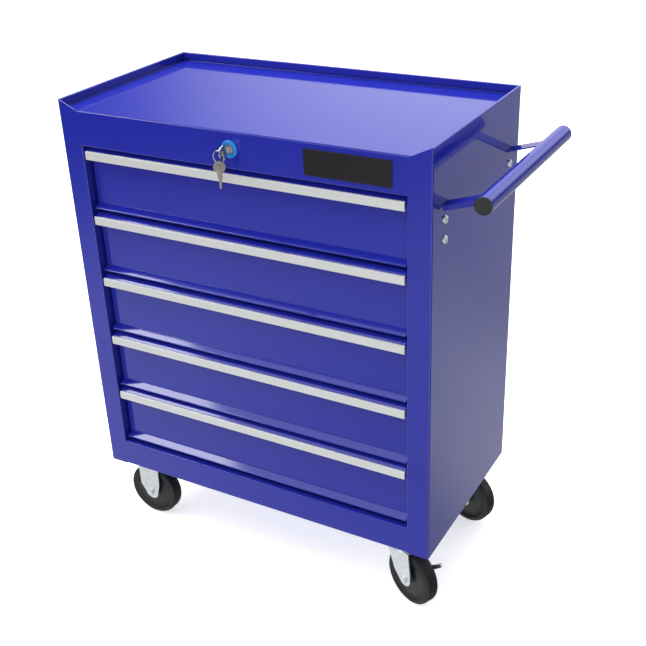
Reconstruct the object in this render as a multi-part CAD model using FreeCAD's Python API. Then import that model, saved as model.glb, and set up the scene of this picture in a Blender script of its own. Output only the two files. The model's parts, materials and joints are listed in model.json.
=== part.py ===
import FreeCAD, Part
import os
from math import atan2, cos, degrees, hypot, pi, sin, sqrt, tan

# Rolling tool cart: a sheet-steel cabinet with five drawers, a rimmed top tray, a push handle on its
# right side, two rigid casters on the left and two swivel casters on the right, the front one braked.
# Everything is drawn with X to the right, Y to the back and Z up, about the middle of the cabinet's
# footprint at floor level, then moved as one to the middle of the whole cart's footprint.

V = FreeCAD.Vector

# Cabinet
WIDTH = 616.0
DEPTH = 324.0
BODY_BOTTOM = 120.0
BODY_TOP = 775.0
SHEET = 1.0
FOLD = 1.0                  # inner radius of an ordinary fold
TIGHT_FOLD = 0.4            # inner radius of the folds that show on the outside
GAP = 0.1                   # between sheets that lie against each other

# Front frame
OPENING_HALF = 271.5
OPENING_BOTTOM = 168.0
OPENING_TOP = 706.0
HEADER_TOP = 760.0
HEADER_HALF = 274.5         # the header and bottom rail cover the folded edge of each stile
STILE_RETURN = 45.0
FLANGE = 14.0
HEM_WIDTH = 3.2             # between the middles of a hem's outer and inner sheets
HEM_DROP = 10.5             # from the cabinet's top to the foot of a hem's inner lip

# Drawers
DRAWER_COUNT = 5
PULL_TOP = 697.7            # top of the highest drawer's pull
PITCH = 106.8
PULL_HALF = 268.0
PULL_HEIGHT = 13.5
PULL_WALL = 1.8
PULL_FOOT = 2.2
PULL_HEAD = 3.0             # depth of the pull's rounded top edge
PANEL_RECESS = 15.0
LIP_RECESS = 5.0
PANEL_DROP = 87.0           # from the pull's top to the start of the lower slope
LIP_DROP = 93.4             # from the pull's top to the foot of the lower slope
FRONT_DROP = 94.9           # from the pull's top to the bottom of the drawer front
RIDGE_RISE = 4.75           # the upper slope climbs from behind the pull to a ridge this high above it
RIDGE_RECESS = 11.7
FLANGE_DEPTH = 24.0         # from the cabinet's front back to the inner skin of a drawer front
PAN_HALF = 257.0
PAN_REAR = 135.0
PAN_TOP_DROP = 18.0
PAN_BOTTOM_DROP = 94.5
SLIDE_DROP = 60.0           # from the pull's top to the middle of the slides
SLIDE_FRONT = -136.5
SLIDE_LENGTH = 288.0
SLIDE_SHEET = 1.2
RAIL_HALF_HEIGHT = 17.5
RUNNER_HALF_HEIGHT = 15.7

# Lock
LOCK_Z = 735.5
BEZEL_R = 13.0
BEZEL_FACE = 3.0            # how far the bezel stands out of the header
PLUG_R = 6.4
PLUG_FACE = 2.4
RUNNING = 0.05              # radial clearance of a shaft in its bore
CRANK = 6.0
PIN_R = 2.0
BAR_FRONT = 138.0
BAR_SHEET = 1.5
BAR_HALF = 15.0
GUIDE_Z = (614.0, 294.0)     # heights of the bar's guides
CATCH_DROP = 30.0           # from the pull's top to the catch's tongue
CATCH_LIP = 8.0
CATCH_HALF = 7.0
KEY_REACH = 26.5            # how far the key stands out of the front

# Handle
TUBE_X = 376.0
TUBE_Z = 709.0
TUBE_R = 12.5
TUBE_WALL = 1.5
TUBE_LENGTH = 326.0
CAP_FACE = 2.0
ARM_ROOT_Z = 688.0
ARM_Y = 122.5
ARM_WIDTH = 25.0
BRACKET_SHEET = 2.0
HANDLE_SCREW_Z = (666.0, 637.0)

# Casters
WHEEL_R = 48.5
WHEEL_HALF = 13.0
TYRE_INNER_R = 32.0
DISH = 10.3                 # half width of the wheel inside the ridge of its tyre
AXLE_R = 4.0
TRAIL = 24.0
RIGID_X = -251.0
RIGID_Y = 119.0
SWIVEL_X = 245.0
SWIVEL_Y = 117.0
SWIVEL_YAW = {"front": -24.0, "rear": -15.5}
PLATE_SIZE = (92.0, 64.0)
PLATE_THICK = 2.5
BOLT_X = 37.0
BOLT_Y = 23.0
BOLT_R = 4.0
LEG_MIDDLE = 17.0
LEG_THICK = 2.5
LEG_TIP_R = 12.5
CROWN_BOTTOM = 99.5
LEG_TOP = CROWN_BOTTOM + LEG_THICK
KINGPIN_R = 5.0
LEVER_THICK = 2.0
LEVER_GAP = 0.3             # on both sides of the brake lever
LEVER_RISE = 39.0           # degrees above level, brake off

# Planes that follow from the above
FRONT = -DEPTH / 2
BACK = DEPTH / 2
SIDE = WIDTH / 2
TRAY_HALF = SIDE - 1.6
TRAY_REAR = BACK - 1.6
RIM_TOP = BODY_TOP - 2.0
PULL_TOPS = [PULL_TOP - PITCH * index for index in range(DRAWER_COUNT)]
PLATE_TOP = BODY_BOTTOM
PLATE_BOTTOM = PLATE_TOP - PLATE_THICK
ARM_SLOPE = atan2(TUBE_Z - ARM_ROOT_Z, TUBE_X - SIDE)
TO_FOOTPRINT_CENTRE = V(-(TUBE_X + TUBE_R - SIDE) / 2, KEY_REACH / 2, 0)


# ---- helpers ----

def box(xs, ys, zs):
    """A block between two corners, given as (low, high) along X, Y and Z."""
    return Part.makeBox(xs[1] - xs[0], ys[1] - ys[0], zs[1] - zs[0], V(xs[0], ys[0], zs[0]))


def both(half):
    return (-half, half)


def tray_corner():
    """Room for the tray's round corner, where the lips of the two hems meet."""
    near, far = SHEET + GAP, HEM_WIDTH + SHEET + GAP
    return box((SIDE - far, SIDE - near), (BACK - far, BACK - near), (HEADER_TOP + 1, BODY_TOP - SHEET))


def cylinder(axis, radius, start, length):
    return Part.makeCylinder(radius, length, V(*start), V(*axis))


def fused(shapes):
    return shapes[0].multiFuse(shapes[1:]).removeSplitter()


def mirrored(shape):
    return shape.mirror(V(0, 0, 0), V(1, 0, 0))


def in_plane(plane, u, v, w):
    """A point at u, v in the named plane and w along its normal."""
    return {"xy": V(u, v, w), "xz": V(u, w, v), "yz": V(w, u, v)}[plane]


def extruded(edges, plane, low, high):
    wire = Part.Wire(Part.sortEdges(edges)[0])
    return Part.Face(wire).extrude(in_plane(plane, 0, 0, high - low))


def outline(points, plane, low, high):
    """A prism whose cross-section is a polygon in the named plane."""
    corners = [in_plane(plane, u, v, low) for u, v in points]
    wire = Part.makePolygon(corners + corners[:1])
    return Part.Face(wire).extrude(in_plane(plane, 0, 0, high - low))


def folded(path, plane, low, high, thickness=SHEET, fold=FOLD):
    """A folded sheet: path is the middle line of its cross-section, and each corner is a round fold."""
    half = thickness / 2
    middle = fold + half
    corners = [V(u, v, 0) for u, v in path]
    headings = [(after - before).normalize() for before, after in zip(corners, corners[1:])]
    normals = [V(-heading.y, heading.x, 0) for heading in headings]

    def point(vector):
        return in_plane(plane, vector.x, vector.y, low)

    edges = []
    ends = []
    for side in (half, -half):
        here = corners[0] + normals[0] * side
        ends.append(here)
        for index in range(1, len(headings)):
            before, after = headings[index - 1], headings[index]
            turn = 1 if before.cross(after).z > 0 else -1
            reach = middle * tan(before.getAngle(after) / 2)
            radius = middle - turn * side
            centre = corners[index] - before * reach + normals[index - 1] * (turn * middle)
            start = centre - normals[index - 1] * (turn * radius)
            stop = centre - normals[index] * (turn * radius)
            bulge = centre + (corners[index] - centre).normalize() * radius
            edges.append(Part.LineSegment(point(here), point(start)).toShape())
            edges.append(Part.Arc(point(start), point(bulge), point(stop)).toShape())
            here = stop
        last = corners[-1] + normals[-1] * side
        edges.append(Part.LineSegment(point(here), point(last)).toShape())
        ends.append(last)
    edges.append(Part.LineSegment(point(ends[0]), point(ends[2])).toShape())
    edges.append(Part.LineSegment(point(ends[1]), point(ends[3])).toShape())
    return extruded(edges, plane, low, high)


def pan(xs, ys, zs, thickness, radius):
    """An open-topped sheet pan with rounded bottom and corner folds."""
    def block(inset, extra):
        shape = box((xs[0] + inset, xs[1] - inset), (ys[0] + inset, ys[1] - inset),
                    (zs[0] + inset, zs[1] + extra))
        top = zs[1] + extra
        edges = [edge for edge in shape.Edges if edge.BoundBox.ZMin < top - thickness]
        return shape.makeFillet(radius - inset, edges)

    return block(0, 0).cut(block(thickness, thickness))


def hexagon(across_flats, axis, start, length):
    """A hexagonal prism from start along +X or +Z."""
    corner = across_flats / sqrt(3)
    turns = [index * pi / 3 for index in range(6)]
    if axis == "x":
        points = [(start[1] + corner * cos(a), start[2] + corner * sin(a)) for a in turns]
        return outline(points, "yz", start[0], start[0] + length)
    points = [(start[0] + corner * cos(a), start[1] + corner * sin(a)) for a in turns]
    return outline(points, "xy", start[2], start[2] + length)


# ---- cabinet ----

def side_panel_right():
    """Side skin with the front stile, its return, a rear flange and a hem over the tray's rim."""
    outer = SIDE - SHEET / 2
    inner = OPENING_HALF + SHEET / 2
    front = FRONT + SHEET / 2
    rear = BACK - SHEET * 1.5
    section = [(inner, FRONT + STILE_RETURN), (inner, front), (outer, front), (outer, rear),
               (outer - FLANGE, rear)]
    panel = folded(section, "xy", BODY_BOTTOM, BODY_TOP)
    hem_foot = BODY_TOP - HEM_DROP - 2
    slope_end = SIDE - 2
    behind_header = box((0, HEADER_HALF), (FRONT - 1, BACK), (OPENING_TOP, BODY_TOP + 1))
    behind_rail = box((0, HEADER_HALF), (FRONT - 1, BACK), (0, OPENING_BOTTOM))
    corner_slope = outline([(HEADER_HALF - 2, HEADER_TOP), (HEADER_HALF, HEADER_TOP), (slope_end, BODY_TOP),
                            (slope_end, BODY_TOP + 1), (HEADER_HALF - 2, BODY_TOP + 1)],
                           "xz", FRONT - 1, FRONT + SHEET + GAP)
    over_base = box((0, SIDE - SHEET - GAP / 2), (FRONT + SHEET + GAP / 2, BACK - SHEET * 2),
                    (0, BODY_BOTTOM + SHEET + GAP))
    flange_top = box((0, SIDE - SHEET), (BACK - SHEET * 2 - GAP, BACK), (HEADER_TOP - 1, BODY_TOP + 1))
    skin_top = box((SIDE - 5, SIDE + 1), (FRONT + 2, BACK - 2), (hem_foot, BODY_TOP + 1))
    lip = outer - HEM_WIDTH
    top = BODY_TOP - SHEET / 2
    hem = folded([(outer, hem_foot), (outer, top), (lip, top), (lip, BODY_TOP - HEM_DROP)],
                 "xz", FRONT + 2, BACK - 2, fold=TIGHT_FOLD)
    for cutter in (behind_header, behind_rail, corner_slope, over_base, flange_top, skin_top):
        panel = panel.cut(cutter)
    return fused([panel, hem]).cut(tray_corner())


def handle_openings():
    """The two slots for the handle's arms and the four screw holes below them."""
    cutters = []
    for side in (-1, 1):
        low, high = sorted((side * (ARM_Y - ARM_WIDTH / 2 - 0.3), side * (ARM_Y + ARM_WIDTH / 2 + 0.3)))
        cutters.append(box((SIDE - 3, SIDE + 1), (low, high), (ARM_ROOT_Z - 1.9, ARM_ROOT_Z + 1.6)))
        for height in HANDLE_SCREW_Z:
            cutters.append(cylinder((1, 0, 0), 3.2, (SIDE - 5, side * ARM_Y, height), 10))
    return cutters


def back_panel():
    """Flat back with a hem over the tray's rear rim."""
    hem_half = SIDE - HEM_WIDTH - SHEET - GAP
    skin = BACK - SHEET / 2
    lip = skin - HEM_WIDTH
    top = BODY_TOP - SHEET / 2
    upper = folded([(skin, BODY_BOTTOM + 0.5), (skin, top), (lip, top), (lip, BODY_TOP - HEM_DROP)],
                   "yz", -hem_half, hem_half, fold=TIGHT_FOLD)
    lower = box(both(SIDE - 1), (BACK - SHEET, BACK), (BODY_BOTTOM + 0.5, HEADER_TOP))
    corner = tray_corner()
    return fused([upper, lower]).cut(corner).cut(mirrored(corner))


def top_tray():
    """Flat floor with an upturned rim on the sides and back, open at the front."""
    overhang = 20
    tray = pan(both(TRAY_HALF), (FRONT - overhang, TRAY_REAR), (HEADER_TOP, RIM_TOP), SHEET, 1.8)
    return tray.cut(box(both(SIDE), (FRONT - overhang - 1, FRONT + SHEET + GAP), (0, BODY_TOP)))


def front_header():
    face = FRONT + SHEET / 2
    header = folded([(FRONT + FLANGE, OPENING_TOP + SHEET / 2), (face, OPENING_TOP + SHEET / 2),
                     (face, HEADER_TOP - SHEET / 2), (FRONT + 22, HEADER_TOP - SHEET / 2)],
                    "yz", -HEADER_HALF, HEADER_HALF, fold=TIGHT_FOLD)
    return header.cut(cylinder((0, 1, 0), 9.5, (0, FRONT - 1, LOCK_Z), 5))


def bottom_rail():
    face = FRONT + SHEET / 2
    foot = BODY_BOTTOM + SHEET * 1.5 + GAP * 2
    return folded([(FRONT + FLANGE, OPENING_BOTTOM - SHEET / 2), (face, OPENING_BOTTOM - SHEET / 2),
                   (face, foot), (FRONT + 10, foot)], "yz", -HEADER_HALF, HEADER_HALF, fold=TIGHT_FOLD)


def base_panel():
    """Floor of the cabinet with upturned flanges, drilled for the caster bolts."""
    overhang = 20
    half = SIDE - SHEET - GAP
    ys = (FRONT - overhang, BACK - SHEET * 2 - GAP)
    base = pan(both(half), ys, (BODY_BOTTOM, BODY_BOTTOM + 20), SHEET, 2.0)
    base = base.cut(box(both(SIDE), (FRONT - overhang - 1, FRONT + SHEET + FOLD + GAP), (0, BODY_TOP)))
    for x, y in caster_bolt_places():
        base = base.cut(cylinder((0, 0, 1), BOLT_R + 0.2, (x, y, BODY_BOTTOM - 1), 4))
    return base


def slide_uprights():
    """A pair of angle uprights inside the back that carry the rear ends of the slides."""
    leg = BACK - SHEET * 2 - GAP - SHEET / 2
    inner = OPENING_HALF + SHEET / 2
    right = folded([(inner, 118), (inner, leg), (inner + 26, leg)], "xy", BODY_BOTTOM + 21, HEADER_TOP - 3)
    return Part.makeCompound([right, mirrored(right)])


def slide_rails():
    """Ten outer slide channels, two to a drawer, opening towards the middle of the cabinet."""
    web = OPENING_HALF - SLIDE_SHEET / 2
    edge = web - 11.4
    reach = RAIL_HALF_HEIGHT - SLIDE_SHEET / 2
    rails = []
    for top in PULL_TOPS:
        middle = top - SLIDE_DROP
        low, high = middle - reach, middle + reach
        rail = folded([(edge, high), (web, high), (web, low), (edge, low)],
                      "xz", SLIDE_FRONT, SLIDE_FRONT + SLIDE_LENGTH, SLIDE_SHEET, 0.8)
        rails += [rail, mirrored(rail)]
    return Part.makeCompound(rails)


def nameplate():
    plate = box((119, 251), (FRONT - 1.6, FRONT), (714.6, 752))
    corners = [edge for edge in plate.Edges if edge.BoundBox.YLength > 1]
    plate = plate.makeFillet(1.5, corners)
    return plate.makeFillet(0.5, [edge for edge in plate.Edges if edge.BoundBox.YMax < FRONT - 1])


# ---- drawers ----

def drawer_front(top):
    """Sheet front: a lip for the pull, a slope up to a ridge, a recessed panel, a slope out to the bottom
    edge, and an inner skin behind the ridge that closes the gap above the drawer."""
    panel = FRONT + PANEL_RECESS + SHEET / 2
    edge = FRONT + LIP_RECESS + SHEET / 2
    lip = FRONT + PULL_HEAD + GAP + SHEET / 2
    inner = FRONT + FLANGE_DEPTH
    ridge = top + RIDGE_RISE
    bottom = top - FRONT_DROP
    lip_end = top - PULL_HEIGHT + PULL_FOOT + GAP
    upper = [(lip, lip_end), (lip, top - SHEET / 2), (FRONT + RIDGE_RECESS, ridge)]
    middle = [(panel, ridge), (panel, top - PANEL_DROP)]
    lower = [(edge, top - LIP_DROP), (edge, bottom), (panel - 1, bottom)]
    face = folded(upper + middle + lower, "yz", -PULL_HALF, PULL_HALF, fold=TIGHT_FOLD)
    skin = [(panel, ridge), (inner, ridge), (inner, top - PAN_TOP_DROP + 2)]
    backing = folded(skin, "yz", -PULL_HALF, PULL_HALF)
    ends = box(both(PULL_HALF), (panel, inner), (top - PANEL_DROP + 2, ridge))
    ends = ends.cut(box(both(PULL_HALF - SHEET), (panel - 1, BACK), (0, BODY_TOP)))
    return fused([face, backing, ends])


def drawer_pull(top):
    """Full-width extruded pull: a face with a rounded top edge, and a foot whose hook holds the lip of the
    drawer front."""
    inside = PULL_WALL
    back = PULL_HEAD
    low = top - PULL_HEIGHT
    foot = low + PULL_FOOT
    hook = back + SHEET + GAP * 2
    heel = hook + 1.1
    profile = [(0, low + 0.6), (0, top - 1.8), (0.5, top - 0.6), (1.8, top), (back, top), (back, top - 2.2),
               (inside, top - 2.2), (inside, foot), (hook, foot), (hook, foot + 2.8), (heel, foot + 2.8),
               (heel, low), (0.6, low)]
    return outline([(FRONT + depth, height) for depth, height in profile], "yz", -PULL_HALF, PULL_HALF)


def drawer_pan(top):
    """Drawer body with a doubled top edge and a hooked catch for the lock bar on its back."""
    ys = (FRONT + PANEL_RECESS + SHEET + GAP, PAN_REAR)
    high = top - PAN_TOP_DROP
    body = pan(both(PAN_HALF), ys, (top - PAN_BOTTOM_DROP, high), SHEET, 2.5)
    rim = box(both(PAN_HALF - 0.8), (ys[0] + 0.8, ys[1] - 0.8), (high - 7, high))
    rim = rim.cut(box(both(PAN_HALF - 2.2), (ys[0] + 2.2, ys[1] - 2.2), (0, high + 1)))
    tongue = top - CATCH_DROP - SLIDE_SHEET / 2
    hook = PAN_REAR + 8.9
    catch = folded([(PAN_REAR - 0.5, tongue), (hook, tongue), (hook, top - CATCH_DROP - CATCH_LIP)],
                   "yz", -CATCH_HALF, CATCH_HALF, SLIDE_SHEET, 0.6)
    return fused([body, rim, catch])


def drawer_runners(top):
    """The inner slide channels, fixed to the drawer's sides and opening outwards."""
    web = PAN_HALF + SLIDE_SHEET / 2
    edge = web + 12
    reach = RUNNER_HALF_HEIGHT - SLIDE_SHEET / 2
    low, high = top - SLIDE_DROP - reach, top - SLIDE_DROP + reach
    right = folded([(edge, high), (web, high), (web, low), (edge, low)],
                   "xz", SLIDE_FRONT, SLIDE_FRONT + SLIDE_LENGTH - 3, SLIDE_SHEET, 0.8)
    return Part.makeCompound([right, mirrored(right)])


# ---- lock ----

def lock_housing():
    barrel = cylinder((0, 1, 0), 9.4, (0, FRONT, LOCK_Z), 25)
    nut = cylinder((0, 1, 0), 14, (0, FRONT + SHEET + GAP, LOCK_Z), 4)
    bore = cylinder((0, 1, 0), PLUG_R + RUNNING, (0, FRONT - 1, LOCK_Z), 30)
    return fused([barrel, nut]).cut(bore)


def lock_bezel():
    """Domed collar round the keyway, on the outside of the header, with a recess round the plug."""
    ring = cylinder((0, 1, 0), BEZEL_R, (0, FRONT - BEZEL_FACE, LOCK_Z), BEZEL_FACE)
    rim = [edge for edge in ring.Edges if edge.BoundBox.YMax < FRONT - 1]
    ring = ring.makeFillet(1.8, rim)
    recess = cylinder((0, 1, 0), BEZEL_R - 3.5, (0, FRONT - BEZEL_FACE - 1, LOCK_Z), 2)
    return ring.cut(recess).cut(cylinder((0, 1, 0), PLUG_R + 0.5, (0, FRONT - 6, LOCK_Z), 10))


def lock_plug():
    plug = cylinder((0, 1, 0), PLUG_R, (0, FRONT - PLUG_FACE, LOCK_Z), 27 + PLUG_FACE)
    return plug.cut(box(both(1.2), (FRONT - 5, FRONT + 17), (LOCK_Z - 3.7, LOCK_Z + 3.7)))


def key():
    """Key in the lock, with its round bow standing upright in front."""
    bow_r = 10.0
    bow_y = FRONT - KEY_REACH + bow_r
    bow = cylinder((1, 0, 0), bow_r, (-1, bow_y, LOCK_Z), 2)
    hole = cylinder((1, 0, 0), 3.2, (-2, bow_y - 4, LOCK_Z), 4)
    shoulder = FRONT - PLUG_FACE - 0.2
    neck = box(both(1), (bow_y + 7, shoulder), (LOCK_Z - 4.5, LOCK_Z + 4.5))
    blade = box(both(1), (shoulder, FRONT + 15), (LOCK_Z - 3.4, LOCK_Z + 3.4))
    return fused([bow, neck, blade]).cut(hole)


def lock_rod():
    """Rod from the plug to the back of the cabinet, with a crank pin that lifts the lock bar."""
    low = -CRANK * cos(pi / 4)
    rod = cylinder((0, 1, 0), 3.0, (0, FRONT + 27, LOCK_Z), PAN_REAR - FRONT - 27)
    hub = cylinder((0, 1, 0), 5.0, (0, PAN_REAR - 3, LOCK_Z), 3)
    eye = cylinder((0, 1, 0), 4.0, (low, PAN_REAR - 3, LOCK_Z + low), 3)
    arm = box(both(3), (PAN_REAR - 3, PAN_REAR), (-CRANK, 0))
    arm.rotate(V(0, 0, 0), V(0, 1, 0), 45)
    arm.translate(V(0, 0, LOCK_Z))
    pin = cylinder((0, 1, 0), PIN_R, (low, PAN_REAR - 3, LOCK_Z + low), 9)
    return fused([rod, hub, arm, eye, pin])


def lock_bar():
    """Upright strip with a window for each drawer's catch; raised, its sills stand behind the hooks."""
    ys = (BAR_FRONT, BAR_FRONT + BAR_SHEET)
    bar = box(both(BAR_HALF), ys, (PULL_TOPS[-1] - CATCH_DROP - 25, LOCK_Z + 10))
    for top in PULL_TOPS:
        catch = top - CATCH_DROP
        bar = bar.cut(box(both(CATCH_HALF + 2), (ys[0] - 1, ys[1] + 1), (catch - 10.1, catch + 2.5)))
    pin_x = -CRANK * cos(pi / 4)
    slot_half = PIN_R + 0.4
    slot = box((-CRANK - slot_half - 0.4, pin_x + slot_half), (ys[0] - 1, ys[1] + 1),
               (LOCK_Z + pin_x - slot_half, LOCK_Z + pin_x + slot_half))
    return bar.cut(slot)


def lock_bar_guides():
    """Two moulded blocks on the back panel with a slot that the bar slides in."""
    blocks = []
    slot_ys = (BAR_FRONT - 0.4, BAR_FRONT + BAR_SHEET + 0.4)
    for height in GUIDE_Z:
        block = box(both(BAR_HALF + 7), (BAR_FRONT - 1.8, BACK - SHEET), (height - 8, height + 8))
        slot = box(both(BAR_HALF + 0.4), slot_ys, (height - 9, height + 9))
        blocks.append(block.cut(slot))
    return Part.makeCompound(blocks)


# ---- handle ----

def handle_bracket():
    """One pressed plate: two arms that rise to the tube, a strip that joins them under the tube, and
    tabs that pass through slots in the side panel and are screwed to it from inside."""
    half = BRACKET_SHEET / 2
    reach = hypot(TUBE_X - SIDE, TUBE_Z - ARM_ROOT_Z)
    pieces = [box((reach - TUBE_R - 7, reach - 8), both(ARM_Y), both(half))]
    inner, outer = ARM_Y - ARM_WIDTH / 2, ARM_Y + ARM_WIDTH / 2
    for side in (-1, 1):
        arm = box((-2.9, reach - 8), (inner, outer), both(half))
        flange = box((1.5, reach - TUBE_R - 3), (outer - BRACKET_SHEET, outer), (-6, 0))
        tip = outline([(reach - TUBE_R - 12, -6.5), (reach - TUBE_R, -6.5), (reach - TUBE_R, -half)],
                      "xz", outer - 5, outer + 1)
        arm = arm.fuse(flange.cut(tip))
        pieces.append(arm if side > 0 else arm.mirror(V(0, 0, 0), V(0, 1, 0)))
    sloped = fused(pieces)
    sloped.rotate(V(0, 0, 0), V(0, -1, 0), degrees(ARM_SLOPE))
    sloped.translate(V(SIDE, 0, ARM_ROOT_Z))
    bracket = [sloped]
    for side in (-1, 1):
        low, high = sorted((side * (ARM_Y - 11), side * (ARM_Y + 11)))
        skin = SIDE - SHEET
        tab = box((skin - BRACKET_SHEET, skin), (low, high), (HANDLE_SCREW_Z[1] - 10, ARM_ROOT_Z - 0.6))
        for height in HANDLE_SCREW_Z:
            tab = tab.cut(cylinder((1, 0, 0), 3.2, (SIDE - 5, side * ARM_Y, height), 10))
        bracket.append(tab)
    tube = cylinder((0, 1, 0), TUBE_R, (TUBE_X, -TUBE_LENGTH / 2, TUBE_Z), TUBE_LENGTH)
    return fused(bracket).cut(tube)


def handle_tube():
    length = TUBE_LENGTH - 2 * CAP_FACE
    start = (TUBE_X, -length / 2, TUBE_Z)
    bore = cylinder((0, 1, 0), TUBE_R - TUBE_WALL, start, length)
    return cylinder((0, 1, 0), TUBE_R, start, length).cut(bore)


def handle_end_caps():
    end = TUBE_LENGTH / 2
    face = cylinder((0, 1, 0), TUBE_R, (TUBE_X, end - CAP_FACE, TUBE_Z), CAP_FACE)
    face = face.makeFillet(0.8, [edge for edge in face.Edges if edge.BoundBox.YMin > end - 0.1])
    plug = cylinder((0, 1, 0), TUBE_R - TUBE_WALL - GAP, (TUBE_X, end - 14, TUBE_Z), 13)
    cap = fused([face, plug])
    return Part.makeCompound([cap, cap.mirror(V(0, 0, 0), V(0, 1, 0))])


def handle_fasteners():
    """Cross-recess screws through the side panel and the handle's tabs, with nuts inside."""
    pieces = []
    for side in (-1, 1):
        for height in HANDLE_SCREW_Z:
            y = side * ARM_Y
            head = cylinder((1, 0, 0), 6.2, (SIDE, y, height), 3.4)
            head = head.makeFillet(2.0, [edge for edge in head.Edges if edge.BoundBox.XMin > SIDE + 3])
            for across, up in ((3, 0.6), (0.6, 3)):
                recess = box((SIDE + 1.6, SIDE + 5), (y - across, y + across), (height - up, height + up))
                head = head.cut(recess)
            shank = cylinder((1, 0, 0), 3.0, (SIDE - 12, y, height), 12)
            pieces.append(fused([head, shank]))
            nut = hexagon(10, "x", (SIDE - SHEET - BRACKET_SHEET - 5, y, height), 5)
            pieces.append(nut.cut(shank))
    return Part.makeCompound(pieces)


# ---- casters ----

def caster_centres():
    return [(RIGID_X, -RIGID_Y), (RIGID_X, RIGID_Y), (SWIVEL_X, -SWIVEL_Y), (SWIVEL_X, SWIVEL_Y)]


def caster_bolt_places():
    return [(x + along, y + across) for x, y in caster_centres()
            for along in (-BOLT_X, BOLT_X) for across in (-BOLT_Y, BOLT_Y)]


def caster_fasteners():
    pieces = []
    for x, y in caster_bolt_places():
        head = hexagon(13, "z", (x, y, BODY_BOTTOM + SHEET), 5.3)
        foot = PLATE_BOTTOM - 9
        shank = cylinder((0, 0, 1), BOLT_R, (x, y, foot), BODY_BOTTOM + SHEET - foot)
        nut = hexagon(13, "z", (x, y, PLATE_BOTTOM - 6.5), 6.5)
        pieces += [fused([head, shank]), nut.cut(shank)]
    return Part.makeCompound(pieces)


def caster_plate():
    """Top plate of a caster about the origin, with its four bolt holes."""
    plate = box(both(PLATE_SIZE[0] / 2), both(PLATE_SIZE[1] / 2), (PLATE_BOTTOM, PLATE_TOP))
    plate = plate.makeFillet(6, [edge for edge in plate.Edges if edge.BoundBox.ZLength > PLATE_THICK - 0.1])
    for along in (-BOLT_X, BOLT_X):
        for across in (-BOLT_Y, BOLT_Y):
            plate = plate.cut(cylinder((0, 0, 1), BOLT_R + 0.2, (along, across, PLATE_BOTTOM - 1), 5))
    return plate


def fork_legs(blade, axle_x, tip_x):
    """Two legs with an outline given as (along, height) points and a round tip, drilled for the axle."""
    legs = []
    for side in (-LEG_MIDDLE, LEG_MIDDLE):
        low, high = side - LEG_THICK / 2, side + LEG_THICK / 2
        tip = cylinder((0, 1, 0), LEG_TIP_R, (tip_x, low, WHEEL_R), LEG_THICK)
        hole = cylinder((0, 1, 0), AXLE_R + 0.1, (axle_x, low - 1, WHEEL_R), LEG_THICK + 2)
        legs.append(outline(blade, "xz", low, high).fuse(tip).cut(hole))
    return legs


def rigid_fork():
    """Top plate, web and two legs that narrow from the plate's width to the axle."""
    half = 21.5
    tip_x = 3
    web = box(both(half), both(LEG_MIDDLE), (PLATE_BOTTOM - LEG_THICK, PLATE_BOTTOM))
    blade = [(-half, PLATE_BOTTOM), (half, PLATE_BOTTOM), (half - 1, 68), (tip_x + LEG_TIP_R, WHEEL_R),
             (tip_x - 10.6, WHEEL_R - 6.6), (-half + 1.5, 62)]
    return fused([caster_plate(), web] + fork_legs(blade, 0, tip_x))


def swivel_plate():
    """Top plate with the upper bearing race and a riveted kingpin."""
    race = cylinder((0, 0, 1), 24, (0, 0, CROWN_BOTTOM + 9.4), PLATE_BOTTOM - CROWN_BOTTOM - 9.4)
    race = race.makeFillet(2, [edge for edge in race.Edges if edge.BoundBox.ZMax < CROWN_BOTTOM + 10])
    pin = cylinder((0, 0, 1), KINGPIN_R, (0, 0, CROWN_BOTTOM - 3), 14)
    rivet = cylinder((0, 0, 1), 9, (0, 0, CROWN_BOTTOM - 3.4), 3)
    return fused([caster_plate(), race, pin, rivet])


def swivel_fork():
    """Fork that turns on the kingpin: lower race, crown and two legs that lean back to the axle."""
    front, rear = -15, 32
    crown = fused([cylinder((0, 0, 1), 25, (0, 0, CROWN_BOTTOM), LEG_THICK),
                   box((front, rear), both(LEG_MIDDLE), (CROWN_BOTTOM, LEG_TOP))])
    race = cylinder((0, 0, 1), 26, (0, 0, LEG_TOP), 6.5)
    race = race.makeFillet(2, race.Edges)
    blade = [(front, LEG_TOP), (rear, LEG_TOP), (TRAIL + LEG_TIP_R, 64), (TRAIL + LEG_TIP_R, WHEEL_R),
             (TRAIL - 8, WHEEL_R - 10), (0, 55), (front + 1, 86)]
    fork = fused([crown, race] + fork_legs(blade, TRAIL, TRAIL))
    return fork.cut(cylinder((0, 0, 1), KINGPIN_R + RUNNING, (0, 0, CROWN_BOTTOM - 1), 12))


def axle(centre_x, spacer=0.0):
    """Axle bolt with a hexagon head and nut outside the legs, the nut a spacer further out."""
    outside = LEG_MIDDLE + LEG_THICK / 2
    nut_start = outside + spacer
    pieces = [cylinder((0, 1, 0), AXLE_R, (centre_x, -outside, WHEEL_R), outside + nut_start + 5.5)]
    for start, length in ((-outside - 4, 4), (nut_start, 4.5)):
        corner = 11 / sqrt(3)
        turns = [index * pi / 3 for index in range(6)]
        points = [(centre_x + corner * cos(a), WHEEL_R + corner * sin(a)) for a in turns]
        pieces.append(outline(points, "xz", start, start + length))
    return fused(pieces)


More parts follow.
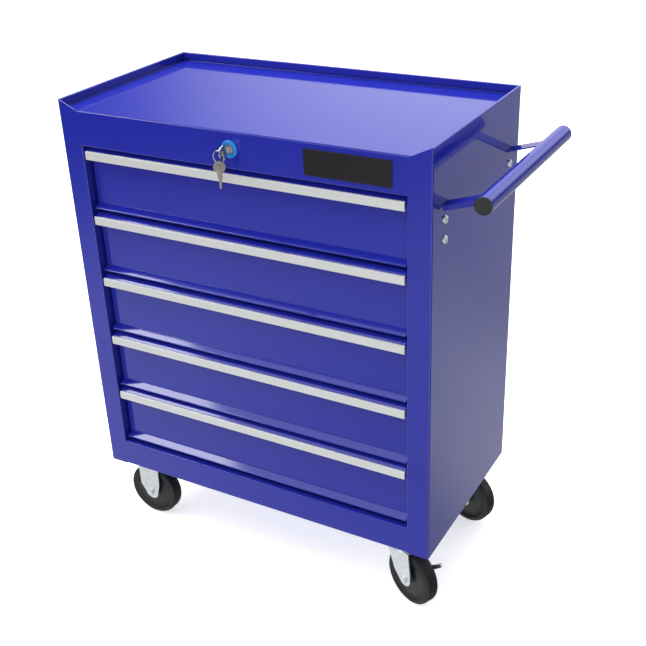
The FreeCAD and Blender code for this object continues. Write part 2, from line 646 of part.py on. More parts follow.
def brake_lever():
    """Foot lever that turns on the axle outside the inner leg, with a turned-out pad near its tip."""
    low = LEG_MIDDLE + LEG_THICK / 2 + LEVER_GAP
    high = low + LEVER_THICK
    reach, tip_r, eye_r = 54, 2.8, 8.5
    arm = outline([(0, -5.5), (reach, -tip_r), (reach, tip_r), (0, 5.5)], "xz", low, high)
    eye = cylinder((0, 1, 0), eye_r, (0, low, 0), LEVER_THICK)
    tip = cylinder((0, 1, 0), tip_r, (reach, low, 0), LEVER_THICK)
    pad = box((reach - 16, reach), (low, high + 4), (tip_r - LEVER_THICK, tip_r))
    bore = cylinder((0, 1, 0), AXLE_R + RUNNING, (0, low - 1, 0), LEVER_THICK + 2)
    lever = fused([arm, eye, tip, pad]).cut(bore)
    lever.rotate(V(0, 0, 0), V(0, -1, 0), LEVER_RISE)
    return at_axle(lever, TRAIL)


def turned(profile):
    """A ring about the Y axis from (radius, along) points; a point with a third value ends an arc
    that bulges through that (radius, along) pair."""
    edges = []
    here = V(profile[0][0], profile[0][1], 0)
    for entry in profile[1:] + profile[:1]:
        there = V(entry[0], entry[1], 0)
        if len(entry) == 3:
            bulge = V(entry[2][0], entry[2][1], 0)
            edges.append(Part.Arc(here, bulge, there).toShape())
        else:
            edges.append(Part.LineSegment(here, there).toShape())
        here = there
    return Part.Face(Part.Wire(edges)).revolve(V(0, 0, 0), V(0, 1, 0), 360)


def at_axle(shape, centre_x):
    shape.translate(V(centre_x, 0, WHEEL_R))
    return shape


def tyre(centre_x):
    shoulder = 7.0
    inner = WHEEL_R - shoulder
    flat = WHEEL_HALF - shoulder
    bulge = shoulder * cos(pi / 4)
    profile = [(TYRE_INNER_R, -DISH), (37.5, -DISH - 0.5), (39.5, -WHEEL_HALF + 0.3), (inner, -WHEEL_HALF),
               (WHEEL_R, -flat, (inner + bulge, -flat - bulge)), (WHEEL_R, flat),
               (inner, WHEEL_HALF, (inner + bulge, flat + bulge)), (39.5, WHEEL_HALF - 0.3),
               (37.5, DISH + 0.5), (TYRE_INNER_R, DISH)]
    return at_axle(turned(profile), centre_x)


def hub(centre_x):
    bore = AXLE_R + RUNNING
    half = [(bore, 14.5), (9, 14.5), (10, DISH - 1), (TYRE_INNER_R, DISH)]
    other = [(radius, -along) for radius, along in reversed(half)]
    return at_axle(turned(half + other), centre_x)


def placed(shape, centre, yaw=0.0):
    """A caster piece moved from the origin to its place under the cabinet."""
    moved = shape.copy()
    moved.rotate(V(0, 0, 0), V(0, 0, 1), yaw)
    moved.translate(V(centre[0], centre[1], 0))
    return moved


def at_each(shape, places):
    return Part.makeCompound([placed(shape, place) for place in places.values()])


# ---- assembly ----

def cabinet_parts():
    right = side_panel_right()
    left = mirrored(right)
    for cutter in handle_openings():
        right = right.cut(cutter)
    return {
        "side_panel_left": left,
        "side_panel_right": right,
        "back_panel": back_panel(),
        "top_tray": top_tray(),
        "front_header": front_header(),
        "bottom_rail": bottom_rail(),
        "base_panel": base_panel(),
        "slide_uprights": slide_uprights(),
        "slide_rails": slide_rails(),
        "nameplate": nameplate(),
    }


def lock_parts():
    return {
        "lock_housing": lock_housing(),
        "lock_bezel": lock_bezel(),
        "lock_plug": lock_plug(),
        "key": key(),
        "lock_rod": lock_rod(),
        "lock_bar": lock_bar(),
        "lock_bar_guides": lock_bar_guides(),
    }


def handle_parts():
    return {
        "handle_bracket": handle_bracket(),
        "handle_tube": handle_tube(),
        "handle_end_caps": handle_end_caps(),
        "handle_fasteners": handle_fasteners(),
    }


def drawer_parts():
    parts = {}
    for number, top in enumerate(PULL_TOPS, 1):
        parts[f"drawer_{number}_pan"] = drawer_pan(top)
        parts[f"drawer_{number}_front"] = drawer_front(top)
        parts[f"drawer_{number}_pull"] = drawer_pull(top)
        parts[f"drawer_{number}_runners"] = drawer_runners(top)
    return parts


def caster_parts():
    rigid_places = {"front": (RIGID_X, -RIGID_Y), "rear": (RIGID_X, RIGID_Y)}
    swivel_places = {"front": (SWIVEL_X, -SWIVEL_Y), "rear": (SWIVEL_X, SWIVEL_Y)}
    parts = {
        "caster_fasteners": caster_fasteners(),
        "rigid_forks": at_each(rigid_fork(), rigid_places),
        "rigid_axles": at_each(axle(0), rigid_places),
        "swivel_plates": at_each(swivel_plate(), swivel_places),
    }
    for end in ("front", "rear"):
        place, yaw = swivel_places[end], SWIVEL_YAW[end]
        parts[f"swivel_fork_{end}"] = placed(swivel_fork(), place, yaw)
        parts[f"tyre_{end}_right"] = placed(tyre(TRAIL), place, yaw)
        parts[f"hub_{end}_right"] = placed(hub(TRAIL), place, yaw)
        parts[f"tyre_{end}_left"] = placed(tyre(0), rigid_places[end])
        parts[f"hub_{end}_left"] = placed(hub(0), rigid_places[end])
    lever_room = LEVER_THICK + 2 * LEVER_GAP
    parts["swivel_axle_front"] = placed(axle(TRAIL, lever_room), swivel_places["front"], SWIVEL_YAW["front"])
    parts["brake_lever_front"] = placed(brake_lever(), swivel_places["front"], SWIVEL_YAW["front"])
    parts["swivel_axle_rear"] = placed(axle(TRAIL), swivel_places["rear"], SWIVEL_YAW["rear"])
    return parts


def main():
    os.makedirs("parts", exist_ok=True)
    everything = {}
    for group in (cabinet_parts, lock_parts, handle_parts, drawer_parts, caster_parts):
        everything.update(group())
    for name, shape in everything.items():
        shape.translate(TO_FOOTPRINT_CENTRE)
        shape.exportStep(f"parts/{name}.step")
    print(len(everything), "parts")


main()
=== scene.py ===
import bmesh
import bpy
import json
from math import cos, radians, sin, tau
from mathutils import Matrix, Vector


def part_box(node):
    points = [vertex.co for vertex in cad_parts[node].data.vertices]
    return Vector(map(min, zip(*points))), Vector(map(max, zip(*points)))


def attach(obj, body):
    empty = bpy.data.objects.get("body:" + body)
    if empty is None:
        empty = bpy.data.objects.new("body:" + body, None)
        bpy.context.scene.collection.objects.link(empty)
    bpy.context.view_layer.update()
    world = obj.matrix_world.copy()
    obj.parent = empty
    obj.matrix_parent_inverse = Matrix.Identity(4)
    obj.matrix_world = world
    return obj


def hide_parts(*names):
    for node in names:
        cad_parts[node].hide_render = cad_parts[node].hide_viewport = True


# Looks of the tool cart. Every length is in metres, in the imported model's own frame.
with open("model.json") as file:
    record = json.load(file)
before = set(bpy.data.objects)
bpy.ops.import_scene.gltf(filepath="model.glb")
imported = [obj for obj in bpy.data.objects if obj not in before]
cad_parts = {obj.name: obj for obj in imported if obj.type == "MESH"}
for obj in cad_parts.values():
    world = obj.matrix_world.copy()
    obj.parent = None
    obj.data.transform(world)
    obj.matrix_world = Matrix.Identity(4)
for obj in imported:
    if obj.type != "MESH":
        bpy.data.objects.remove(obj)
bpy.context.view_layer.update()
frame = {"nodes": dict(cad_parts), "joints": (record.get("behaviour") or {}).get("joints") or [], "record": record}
MM = 0.001
JOINTS = {joint["name"]: joint for joint in frame["joints"]}
NODES = frame["nodes"]

CAMERA_PLACE = Vector((0.7689, -1.3069, 1.1883))
CAMERA_AZIMUTH = radians(30.06)
CAMERA_ELEVATION = radians(27.47)
CAMERA_ROLL = radians(-2.31)
CAMERA_LENS = 58.29         # focal length, in millimetres like the sensor
CAMERA_SENSOR = 36.0
FLOOR_R = 6

SHARP = radians(32)         # edges that turn by more than this are shaded as sharp
BEVEL_FROM = radians(30)    # edges that turn by more than this are rounded by rounded()
CIRCLE_STEPS = 96           # sides of an ordinary turned shape


# ---- places from the frame ----

def spot(joint):
    """Where a joint turns and along what axis."""
    found = JOINTS[joint]
    return Vector(found["pos_m"]), Vector(found["axis"]).normalized()


def frame_at(centre, forward, up=(0, 0, 1)):
    """A matrix at centre whose Z runs along forward and whose Y leans towards up."""
    z = Vector(forward).normalized()
    x = Vector(up).cross(z).normalized()
    y = z.cross(x)
    return Matrix.Translation(Vector(centre)) @ Matrix((x, y, z)).transposed().to_4x4()


# ---- mesh helpers ----

def arc(centre, radius, start, stop, steps):
    """Points on a circle in a plane, from one angle to another, in degrees."""
    turns = [radians(start + (stop - start) * index / steps) for index in range(steps + 1)]
    return [(centre[0] + radius * cos(a), centre[1] + radius * sin(a)) for a in turns]


def lathe(profile, steps=CIRCLE_STEPS):
    """A turned shape about Z from a closed loop of (radius, along) points, some with a radius of 0."""
    shape = bmesh.new()
    rings = []
    for radius, along in profile:
        count = steps if radius else 1
        rings.append([shape.verts.new((radius * cos(tau * i / steps), radius * sin(tau * i / steps), along))
                      for i in range(count)])
    for first, second in zip(rings, rings[1:] + rings[:1]):
        if len(first) == 1 and len(second) == 1:
            continue
        for i in range(steps):
            j = (i + 1) % steps
            corners = [first[i % len(first)], first[j % len(first)],
                       second[j % len(second)], second[i % len(second)]]
            shape.faces.new(list(dict.fromkeys(corners)))
    bmesh.ops.recalc_face_normals(shape, faces=shape.faces)
    return shape


def prism(outline, low, high, holes=()):
    """A flat plate: a closed outline in XY, with holes through it, between two heights."""
    shape = bmesh.new()
    edges = []
    for loop in (outline, *holes):
        ring = [shape.verts.new((x, y, low)) for x, y in loop]
        edges += [shape.edges.new(pair) for pair in zip(ring, ring[1:] + ring[:1])]
    faces = bmesh.ops.triangle_fill(shape, use_beauty=True, edges=edges)["geom"]
    faces = [item for item in faces if isinstance(item, bmesh.types.BMFace)]
    raised = bmesh.ops.extrude_face_region(shape, geom=faces, use_keep_orig=True)["geom"]
    for vert in (item for item in raised if isinstance(item, bmesh.types.BMVert)):
        vert.co.z = high
    bmesh.ops.recalc_face_normals(shape, faces=shape.faces)
    return shape


def rounded(shape, size):
    """The shape with its sharper edges rounded."""
    edges = [edge for edge in shape.edges if edge.calc_face_angle(0) > BEVEL_FROM]
    bmesh.ops.bevel(shape, geom=edges, offset=size, segments=2, profile=0.5, affect="EDGES",
                    clamp_overlap=True)
    return shape


def merged(*shapes):
    """Several shapes as one; the first takes in the others."""
    whole = shapes[0]
    for shape in shapes[1:]:
        mesh = bpy.data.meshes.new("merge")
        shape.to_mesh(mesh)
        whole.from_mesh(mesh)
        bpy.data.meshes.remove(mesh)
        shape.free()
    return whole


def moved(shape, matrix):
    """The shape itself, moved by a matrix."""
    bmesh.ops.transform(shape, matrix=matrix, verts=shape.verts)
    return shape


def piece(name, shape, material, body, replaces=()):
    """A finished piece: smooth but for its sharp edges, riding on its body."""
    for face in shape.faces:
        face.smooth = True
    for edge in shape.edges:
        edge.smooth = edge.calc_face_angle(0) < SHARP
    mesh = bpy.data.meshes.new(name)
    shape.to_mesh(mesh)
    shape.free()
    made = bpy.data.objects.new(name, mesh)
    bpy.context.scene.collection.objects.link(made)
    mesh.materials.append(material)
    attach(made, body)
    if replaces:
        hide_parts(*replaces)


# ---- material helpers ----

class Shader:
    """One material's node tree, with short names for the nodes used again and again."""

    def __init__(self, name, **sockets):
        self.material = bpy.data.materials.new(name)
        self.material.use_nodes = True
        self.nodes = self.material.node_tree.nodes
        self.links = self.material.node_tree.links
        self.bsdf = self.nodes["Principled BSDF"]
        self.coords = self.nodes.new("ShaderNodeTexCoord").outputs["Object"]
        for socket, value in sockets.items():
            self.bsdf.inputs[socket.replace("_", " ")].default_value = value

    def place(self, stretch):
        """Object coordinates scaled along each axis."""
        node = self.nodes.new("ShaderNodeMapping")
        node.inputs["Scale"].default_value = stretch
        self.links.new(self.coords, node.inputs["Vector"])
        return node.outputs["Vector"]

    def noise(self, scale, detail, stretch=(1, 1, 1)):
        """Cloudy noise, 0 to 1."""
        node = self.nodes.new("ShaderNodeTexNoise")
        node.inputs["Scale"].default_value = scale
        node.inputs["Detail"].default_value = detail
        node.inputs["Roughness"].default_value = 0.5
        self.links.new(self.place(stretch), node.inputs["Vector"])
        return node.outputs["Fac"]

    def cells(self, scale):
        """A random value for each cell of a crystal-like pattern."""
        node = self.nodes.new("ShaderNodeTexVoronoi")
        node.inputs["Scale"].default_value = scale
        self.links.new(self.place((1, 1, 1)), node.inputs["Vector"])
        return node.outputs["Color"]

    def ranged(self, value, low, high, start=0.0, stop=1.0):
        """A value between start and stop, carried over to between low and high."""
        node = self.nodes.new("ShaderNodeMapRange")
        for socket, number in (("From Min", start), ("From Max", stop), ("To Min", low), ("To Max", high)):
            node.inputs[socket].default_value = number
        self.links.new(value, node.inputs["Value"])
        return node.outputs["Result"]

    def mixed(self, share, first, second):
        """A colour between two: each is a colour or an output."""
        node = self.nodes.new("ShaderNodeMix")
        node.data_type = "RGBA"
        self.links.new(share, node.inputs["Factor"])
        for socket, colour in (("A", first), ("B", second)):
            target = [s for s in node.inputs if s.name == socket and s.type == "RGBA"][0]
            if isinstance(colour, tuple):
                target.default_value = (*colour, 1)
            else:
                self.links.new(colour, target)
        return [s for s in node.outputs if s.type == "RGBA"][0]

    def soft(self, radius):
        """A normal that rounds every edge by a radius."""
        bevel = self.nodes.new("ShaderNodeBevel")
        bevel.samples = 4
        bevel.inputs["Radius"].default_value = radius
        return bevel.outputs["Normal"]

    def edge(self, soft):
        """How far a rounded normal leaves the true one: 0 on flats, 1 on edges."""
        geometry = self.nodes.new("ShaderNodeNewGeometry")
        dot = self.nodes.new("ShaderNodeVectorMath")
        dot.operation = "DOT_PRODUCT"
        self.links.new(soft, dot.inputs[0])
        self.links.new(geometry.outputs["True Normal"], dot.inputs[1])
        return self.ranged(dot.outputs["Value"], 1.0, 0.0, 0.75, 0.98)

    def bump(self, layers, normal=None):
        """Bump from (height, strength, distance) layers, one on top of another, over a normal."""
        for height, strength, distance in layers:
            node = self.nodes.new("ShaderNodeBump")
            node.inputs["Strength"].default_value = strength
            node.inputs["Distance"].default_value = distance
            self.links.new(height, node.inputs["Height"])
            if normal is not None:
                self.links.new(normal, node.inputs["Normal"])
            normal = node.outputs["Normal"]
        self.links.new(normal, self.bsdf.inputs["Normal"])

    def colour(self, output):
        self.links.new(output, self.bsdf.inputs["Base Color"])

    def rough(self, output):
        self.links.new(output, self.bsdf.inputs["Roughness"])


def powder_coat():
    """Royal-blue gloss powder coat: slight orange peel, panels not quite flat, and a painted highlight of lighter
    blue along every edge.
    """
    paint = Shader("blue_powder_coat", IOR=1.5)
    soft = paint.soft(0.5 * MM)
    cloud = paint.mixed(paint.noise(5, 3), (0.012, 0.018, 0.31), (0.018, 0.026, 0.36))
    # painted highlight: the colour turns a lighter blue wherever the edge mask finds a rounded edge
    paint.colour(paint.mixed(paint.edge(soft), cloud, (0.035, 0.05, 0.50)))
    paint.rough(paint.ranged(paint.noise(40, 4), 0.05, 0.11))
    waves = (paint.noise(2.2, 1), 0.35, 0.6 * MM)
    orange_peel = (paint.noise(420, 2), 0.05, 0.25 * MM)
    paint.bump([waves, orange_peel], soft)
    return paint.material


def satin_aluminium():
    """Extruded, satin anodised: fine lines along the extrusion."""
    metal = Shader("pull_aluminium", Metallic=0.35, IOR=1.5)
    lines = metal.noise(900, 3, (0.004, 1, 1))
    metal.colour(metal.mixed(metal.noise(25, 3, (0.1, 1, 1)), (0.62, 0.63, 0.635), (0.71, 0.715, 0.715)))
    metal.rough(metal.ranged(lines, 0.30, 0.46))
    metal.bump([(lines, 0.12, 0.1 * MM)], metal.soft(0.4 * MM))
    return metal.material


def zinc(name, bright):
    """Zinc plate with faint crystal patches."""
    metal = Shader(name, Metallic=0.9, IOR=1.5)
    patches = metal.cells(160)
    dull = tuple(bright * share for share in (0.80, 0.83, 0.86))
    light = tuple(bright * share for share in (0.93, 0.97, 1.0))
    metal.colour(metal.mixed(patches, dull, light))
    metal.rough(metal.ranged(metal.noise(220, 4), 0.26, 0.44))
    metal.bump([(metal.noise(300, 3), 0.15, 0.15 * MM)], metal.soft(0.5 * MM))
    return metal.material


def nickel(name, dull, light):
    """Nickel plate with fine scratches along its length."""
    metal = Shader(name, Metallic=1.0, IOR=1.5)
    metal.colour(metal.mixed(metal.noise(180, 4), dull, light))
    metal.rough(metal.ranged(metal.noise(600, 3, (1, 1, 0.1)), 0.16, 0.34))
    metal.bump([(metal.noise(900, 3, (1, 1, 0.15)), 0.12, 0.1 * MM)])
    return metal.material


def tyre_rubber():
    """Black rubber, a little uneven in colour and sheen."""
    rubber = Shader("tyre_rubber", IOR=1.5, Specular_IOR_Level=0.34)
    rubber.colour(rubber.mixed(rubber.noise(60, 5), (0.009, 0.010, 0.011), (0.016, 0.018, 0.0195)))
    rubber.rough(rubber.ranged(rubber.noise(150, 4), 0.42, 0.62))
    rubber.bump([(rubber.noise(700, 4), 0.25, 0.2 * MM)])
    return rubber.material


def plastic(name, dark, light, low, high, grain=900, relief=0.15):
    """Moulded plastic between two colours and two roughnesses, with a fine grain."""
    moulded = Shader(name, IOR=1.42)
    moulded.colour(moulded.mixed(moulded.noise(80, 4), dark, light))
    moulded.rough(moulded.ranged(moulded.noise(200, 3), low, high))
    moulded.bump([(moulded.noise(grain, 2), relief, 0.1 * MM)], moulded.soft(0.3 * MM))
    return moulded.material


BLUE = powder_coat()
ALUMINIUM = satin_aluminium()
ZINC = zinc("zinc_plate", 0.81)
SLIDE_ZINC = zinc("slide_zinc", 0.72)
NICKEL = nickel("key_nickel", (0.38, 0.37, 0.33), (0.52, 0.51, 0.47))
# painted shade: a much darker copy of the key nickel, for the spare key that faces the bright light in front
SHADED_KEY_NICKEL = nickel("key_nickel_painted_shade", (0.10, 0.10, 0.088), (0.19, 0.188, 0.17))
RUBBER = tyre_rubber()
HUB = plastic("hub_plastic", (0.0095, 0.0108, 0.0116), (0.016, 0.0176, 0.0192), 0.36, 0.5)
CAP = plastic("cap_plastic", (0.012, 0.014, 0.013), (0.022, 0.024, 0.022), 0.42, 0.6)
PLATE = plastic("nameplate_black", (0.008, 0.007, 0.010), (0.014, 0.012, 0.016), 0.22, 0.30, 300, 0.02)
COLLAR = plastic("lock_bezel_blue", (0.01, 0.16, 0.60), (0.02, 0.28, 0.80), 0.08, 0.16, 300, 0.03)
NYLON = plastic("guide_nylon", (0.72, 0.72, 0.69), (0.82, 0.82, 0.79), 0.4, 0.55)

SLOT_MATERIALS = {
    "blue_powder_coat": BLUE, "pull_aluminium": ALUMINIUM, "zinc_plate": ZINC, "slide_zinc": SLIDE_ZINC,
    "key_nickel": NICKEL, "tyre_rubber": RUBBER, "hub_plastic": HUB, "cap_plastic": CAP,
    "nameplate_black": PLATE, "lock_bezel_blue": COLLAR, "guide_nylon": NYLON,
}


def dress_cad_nodes():
    """Gives each CAD node the material of its slot in the record."""
    for entry in frame["record"]["subparts"]:
        node = NODES[entry["node"]]
        node.data.materials.clear()
        node.data.materials.append(SLOT_MATERIALS[entry["material_slot"]])


# ---- casters ----

TYRE_R = 48.5 * MM
TYRE_INNER = 32 * MM
TYRE_HALF = 13 * MM
TYRE_SHOULDER = 7 * MM
TYRE_STEPS = 128
BORE_R = 4.05 * MM          # the axle's radius and its running clearance
BOSS_HALF = 14.5 * MM


def tyre_profile():
    """Section of the solid tyre: a shallow dish, a ridge, rounded shoulders and a moulded line."""
    dish = [(TYRE_INNER, 10.3 * MM), (36.6 * MM, 10.7 * MM)]
    ridge = [(37.5 * MM, 11.0 * MM), (38.3 * MM, 11.8 * MM), (39.0 * MM, 12.5 * MM), (39.9 * MM, 12.85 * MM)]
    centre = (TYRE_R - TYRE_SHOULDER, TYRE_HALF - TYRE_SHOULDER)
    seam = [(TYRE_R, 0.5 * MM), (TYRE_R - 0.25 * MM, 0.3 * MM)]
    side = dish + ridge + arc(centre, TYRE_SHOULDER, 88, 0, 10) + seam
    return side + [(radius, -along) for radius, along in reversed(side)]


def hub_profile():
    """Section of the wheel centre: a raised boss in a shallow dish with a groove at its edge."""
    boss = [(BORE_R, BOSS_HALF), (8.4 * MM, BOSS_HALF), (9 * MM, 13.9 * MM), (9.6 * MM, 10.4 * MM)]
    dish = [(10.6 * MM, 9.5 * MM), (12 * MM, 9.3 * MM), (29.6 * MM, 10.15 * MM)]
    groove = [(30.2 * MM, 10.05 * MM), (30.8 * MM, 10.2 * MM), (TYRE_INNER - 0.02 * MM, 10.3 * MM)]
    side = boss + dish + groove
    return side + [(radius, -along) for radius, along in reversed(side)]


def wheels():
    """The four tyres and wheel centres, each on its own axle."""
    for end in ("front", "rear"):
        for side in ("right", "left"):
            place = frame_at(*spot(f"wheel_{end}_{side}_spin"))
            body = f"wheel_{end}_{side}"
            tyre = moved(lathe(tyre_profile(), TYRE_STEPS), place)
            piece(f"solid_tyre_{end}_{side}", tyre, RUBBER, body, [f"tyre_{end}_{side}"])
            hub = moved(lathe(hub_profile()), place)
            piece(f"wheel_hub_{end}_{side}", hub, HUB, body, [f"hub_{end}_{side}"])


# ---- handle ----

TUBE_WALL = 1.5 * MM
CAP_ROUND = 1.1 * MM        # radius of an end cap's outer edge
CAP_PLUG = 12 * MM          # how far an end cap reaches into the tube


def handle():
    """Smooth tube and its end caps."""
    low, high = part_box("handle_tube")
    middle = (low + high) / 2
    radius = (high.x - low.x) / 2
    half = (high.y - low.y) / 2
    inside = radius - TUBE_WALL
    place = frame_at(middle, (0, 1, 0))
    tube = lathe([(radius, -half), (radius, half), (inside, half), (inside, -half)])
    piece("push_tube", moved(tube, place), BLUE, "root", ["handle_tube"])
    cap_low, cap_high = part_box("handle_end_caps")
    cap_half = (cap_high.y - cap_low.y) / 2
    plug_r = inside - 0.1 * MM
    plug_end = half - CAP_PLUG
    face = cap_half - 0.3 * MM
    edge = arc((radius - CAP_ROUND, cap_half - CAP_ROUND), CAP_ROUND, 0, 90, 5)
    profile = [(plug_r, plug_end), (plug_r, half), (radius, half), *edge, (radius - 3 * MM, face), (0, face),
               (0, plug_end)]
    caps = [lathe([(across, along * side) for across, along in profile]) for side in (-1, 1)]
    piece("tube_end_caps", moved(merged(*caps), place), CAP, "root", ["handle_end_caps"])


# ---- lock and keys ----

COLLAR_R = 13 * MM
COLLAR_ROUND = 1.8 * MM
COLLAR_BORE = 6.9 * MM
BOW_R = 10 * MM
BOW_HOLE = 4 * MM           # from the middle of the bow out to the middle of its hole
BLADE_HALF = 3.4 * MM       # half the height of the key's blade
KEY_HALF = 1 * MM           # half the thickness of the key in the lock
KEY_ROUND = 0.3 * MM
RING_R = 9 * MM
RING_WIRE = 0.65 * MM       # radius of the ring's wire
RING_OFFSET = Vector((-5.4 * MM, 0, -6.2 * MM))     # from the hole in the bow to the ring's middle
SPARE_HALF = 0.9 * MM       # half the thickness of the spare key
SPARE_FACING = (0.5, -0.866, 0)


def circle(centre, radius, steps=40):
    """Points all round a circle."""
    return arc(centre, radius, 0, 360, steps)[:-1]


def lock_collar():
    """Sky-blue collar with a recess round the plug."""
    centre, axis = spot("lock_turn")
    outside = [(COLLAR_BORE, 0), (COLLAR_R, 0), (COLLAR_R, 1.2 * MM)]
    edge = arc((COLLAR_R - COLLAR_ROUND, 1.2 * MM), COLLAR_ROUND, 0, 90, 6)
    recess = [(10 * MM, 3 * MM), (9.6 * MM, 2.8 * MM), (9.5 * MM, 2.1 * MM), (9.2 * MM, 2 * MM),
              (COLLAR_BORE, 2 * MM)]
    shape = moved(lathe(outside + edge + recess), frame_at(centre, -axis))
    piece("lock_collar", shape, COLLAR, "root", ["lock_bezel"])


def lock_key():
    """The key in the lock: a round bow standing upright, a neck and a blade. Gives the place of its hole."""
    low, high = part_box("key")
    length = high.y - low.y
    bow = length - BOW_R
    shoulder = length - 24 * MM
    sides = [(shoulder, 4.5 * MM), (shoulder, BLADE_HALF), (0, BLADE_HALF)]
    outline = arc((bow, 0), BOW_R, -153, 153, 48) + sides + [(x, -y) for x, y in reversed(sides)]
    blank = prism(outline, -KEY_HALF, KEY_HALF, [circle((bow + BOW_HOLE, 0), 3.2 * MM)])
    middle = (low + high) / 2
    place = frame_at((middle.x, high.y, middle.z), (-1, 0, 0))
    piece("lock_key", moved(rounded(blank, KEY_ROUND), place), NICKEL, "lock_cylinder", ["key"])
    return Vector((middle.x, low.y + BOW_R - BOW_HOLE, middle.z))


def key_ring(hole):
    """Split ring through the key's bow with a spare key hanging from it; the ring hangs to the side the
    bow's lower edge turns to, so that it stays clear of the bow in both positions of the key."""
    centre = hole + RING_OFFSET
    coils = []
    for side in (-1, 1):
        wire = [(RING_R + RING_WIRE * x, RING_WIRE * (y + side * 0.8)) for x, y in circle((0, 0), 1, 10)]
        coils.append(lathe(wire, 64))
    ring = moved(merged(*coils), frame_at(centre, (0, -1, 0)))
    piece("split_ring", ring, NICKEL, "root")
    eye = centre - Vector((0, 0, RING_R))
    bow = arc((0, -5.3 * MM), 9 * MM, -64, 244, 40)
    blade = [(-3.5 * MM, -17 * MM), (-3.2 * MM, -21 * MM), (-2.1 * MM, -22.5 * MM), (-2.1 * MM, -36.4 * MM),
             (-0.8 * MM, -38 * MM), (0.8 * MM, -37.8 * MM)]
    cuts = [(2 * MM, -35.6 * MM), (1 * MM, -33.4 * MM), (1.9 * MM, -31.6 * MM), (1.2 * MM, -29.6 * MM),
            (2.1 * MM, -27.4 * MM), (2.1 * MM, -22.5 * MM), (3.2 * MM, -21 * MM), (3.5 * MM, -17 * MM)]
    spare = prism(bow + blade + cuts, -SPARE_HALF, SPARE_HALF, [circle((0, 0), 2.1 * MM, 24)])
    spare = moved(rounded(spare, KEY_ROUND), frame_at(eye, SPARE_FACING))
    # the spare key takes the darker copy of the nickel, painted shade
    piece("spare_key", spare, SHADED_KEY_NICKEL, "root")


# ---- scene around the cart ----

def camera():
    """The camera, aimed by its azimuth, elevation and roll."""
    lens = bpy.data.cameras.new("camera")
    lens.lens = CAMERA_LENS
    lens.sensor_width = CAMERA_SENSOR
    lens.clip_start = 0.05
    lens.clip_end = 50
    made = bpy.data.objects.new("camera", lens)
    bpy.context.scene.collection.objects.link(made)
    level = cos(CAMERA_ELEVATION)
    forward = Vector((-sin(CAMERA_AZIMUTH) * level, cos(CAMERA_AZIMUTH) * level, -sin(CAMERA_ELEVATION)))
    turn = forward.to_track_quat("-Z", "Y").to_matrix() @ Matrix.Rotation(CAMERA_ROLL, 3, "Z")
    made.rotation_mode = "QUATERNION"
    made.rotation_quaternion = turn.to_quaternion()
    made.location = CAMERA_PLACE
    bpy.context.scene.camera = made


def softbox(name, place, target, size, power):
    """A rectangular light aimed at a point."""
    light = bpy.data.lights.new(name, "AREA")
    light.shape = "RECTANGLE"
    light.size, light.size_y = size
    light.energy = power
    made = bpy.data.objects.new(name, light)
    made.location = place
    made.rotation_mode = "QUATERNION"
    made.rotation_quaternion = (Vector(target) - Vector(place)).to_track_quat("-Z", "Y")
    bpy.context.scene.collection.objects.link(made)


class Surroundings:
    """World nodes that give a brightness for each direction."""

    def __init__(self):
        self.world = bpy.data.worlds.new("studio")
        self.world.use_nodes = True
        self.nodes = self.world.node_tree.nodes
        self.links = self.world.node_tree.links
        self.direction = self.nodes.new("ShaderNodeTexCoord").outputs["Generated"]

    def along(self, axis):
        """How far the direction points along an axis, -1 to 1."""
        node = self.nodes.new("ShaderNodeVectorMath")
        node.operation = "DOT_PRODUCT"
        self.links.new(self.direction, node.inputs[0])
        node.inputs[1].default_value = Vector(axis).normalized()
        return node.outputs["Value"]

    def step(self, value, start, stop, low, high):
        """A smooth change from low to high while the value goes from start to stop."""
        node = self.nodes.new("ShaderNodeMapRange")
        node.interpolation_type = "SMOOTHSTEP"
        for socket, number in (("From Min", start), ("From Max", stop), ("To Min", low), ("To Max", high)):
            node.inputs[socket].default_value = number
        self.links.new(value, node.inputs["Value"])
        return node.outputs["Result"]

    def maths(self, operation, first, second):
        """Two values joined by a maths operation."""
        node = self.nodes.new("ShaderNodeMath")
        node.operation = operation
        self.links.new(first, node.inputs[0])
        self.links.new(second, node.inputs[1])
        return node.outputs["Value"]

    def lobe(self, axis, core, rim, level):
        """A soft round light: full inside core degrees of its axis and gone outside rim degrees."""
        return self.step(self.along(axis), cos(radians(rim)), cos(radians(core)), 0.0, level)

    def finish(self, brightness):
        """Lights the scene with the brightness and shows the camera plain white."""
        lit = self.nodes["Background"]
        lit.inputs["Color"].default_value = (1, 1, 1, 1)
        self.links.new(brightness, lit.inputs["Strength"])
        plain = self.nodes.new("ShaderNodeBackground")
        plain.inputs["Color"].default_value = (1, 1, 1, 1)
        seen = self.nodes.new("ShaderNodeLightPath").outputs["Is Camera Ray"]
        choose = self.nodes.new("ShaderNodeMixShader")
        self.links.new(seen, choose.inputs["Fac"])
        self.links.new(lit.outputs[0], choose.inputs[1])
        self.links.new(plain.outputs[0], choose.inputs[2])
        self.links.new(choose.outputs[0], self.nodes["World Output"].inputs["Surface"])
        bpy.context.scene.world = self.world


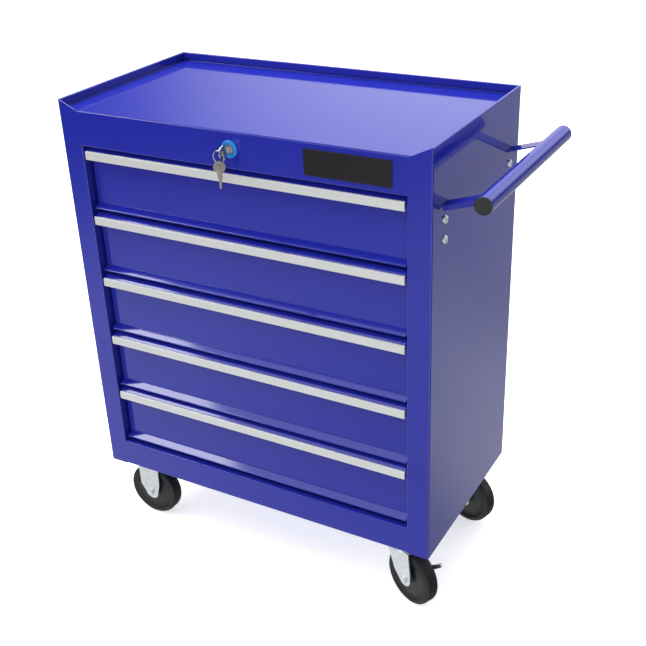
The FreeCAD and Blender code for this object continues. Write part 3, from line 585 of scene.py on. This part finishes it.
def surroundings():
    """Brightness by direction: a sky that brightens upwards and darkens to the right, a pale ground that is
    darker near the horizon and to the right, and three soft round lights."""
    around = Surroundings()
    rightward, backward, upward = (around.along(axis) for axis in ((1, 0, 0), (0, 1, 0), (0, 0, 1)))

    # Sky
    left_side = around.step(rightward, -0.1, 0.55, 1.0, 0.06)
    high = around.step(upward, 0.35, 0.75, 0.35, 1.9)
    front_fill = around.step(backward, 0.0, -0.5, 0.0, 0.1)
    rear_left = around.maths("MULTIPLY", around.step(rightward, -0.50, -0.68, 0.0, 1.0),
                             around.step(backward, 0.3, 0.6, 0.0, 1.0))
    sky = around.maths("MULTIPLY", left_side, around.maths("ADD", high, front_fill))
    sky = around.maths("MULTIPLY", sky, around.step(rear_left, 0.0, 1.0, 1.0, 0.3))

    # Ground
    front_ground = around.maths("MULTIPLY", around.step(upward, -0.26, -0.46, 0.05, 1.0),
                                around.step(rightward, -0.62, -0.35, 1.1, 0.7))
    front_share = around.step(backward, -0.2, 0.4, 1.0, 0.0)
    rear_band = around.maths("MULTIPLY", around.step(backward, 0.71, 0.775, 0.55, 1.0),
                             around.step(backward, 0.80, 0.86, 1.0, 0.7))
    rear_ground = around.maths("MULTIPLY", around.step(backward, -0.2, 0.4, 0.0, 0.8), rear_band)
    ground = around.maths("ADD", around.maths("MULTIPLY", front_ground, front_share), rear_ground)
    ground = around.maths("MULTIPLY", ground, around.step(rightward, 0.35, 0.8, 1.0, 0.35))

    # Sky above the horizon, ground below it, and the lights over both
    above = around.step(upward, -0.06, 0.04, 0.0, 1.0)
    below = around.step(upward, -0.06, 0.04, 1.0, 0.0)
    blend = around.maths("ADD", around.maths("MULTIPLY", sky, above), around.maths("MULTIPLY", ground, below))
    rear_light = around.lobe((-0.10, 0.93, 0.34), 10, 36, 0.95)
    rear_right = around.lobe((0.44, 0.77, 0.46), 8, 24, 1.3)
    front_right = around.lobe((0.35, -0.9, -0.15), 12, 50, 1.5)
    for light in (rear_light, rear_right, front_right):
        blend = around.maths("ADD", blend, light)
    around.finish(blend)


def studio():
    """Surroundings, pale floor and soft lights."""
    surroundings()
    bpy.context.scene.view_settings.view_transform = "Standard"
    shape = bmesh.new()
    bmesh.ops.create_circle(shape, cap_ends=True, segments=CIRCLE_STEPS, radius=FLOOR_R)
    mesh = bpy.data.meshes.new("floor")
    shape.to_mesh(mesh)
    shape.free()
    floor = bpy.data.objects.new("floor", mesh)
    bpy.context.scene.collection.objects.link(floor)
    paper = Shader("floor_paper", Roughness=0.9, IOR=1.3, Emission_Color=(1, 1, 1, 1), Emission_Strength=0.6)
    paper.colour(paper.mixed(paper.noise(1.5, 2), (0.90, 0.90, 0.90), (0.93, 0.93, 0.93)))
    mesh.materials.append(paper.material)
    floor.visible_glossy = False
    floor.visible_diffuse = False
    softbox("overhead_left", (-1.95, -0.81, 2.53), (0, 0, 0.4), (1.6, 0.8), 34)
    softbox("overhead_rear", (-0.3, 0.9, 2.4), (0, 0, 0.77), (1.2, 1.2), 26)
    softbox("right_rear", (1.7, 0.9, 0.75), (0.31, 0, 0.4), (1.2, 1.2), 8.5)


dress_cad_nodes()
wheels()
handle()
lock_collar()
key_ring(lock_key())
camera()
studio()
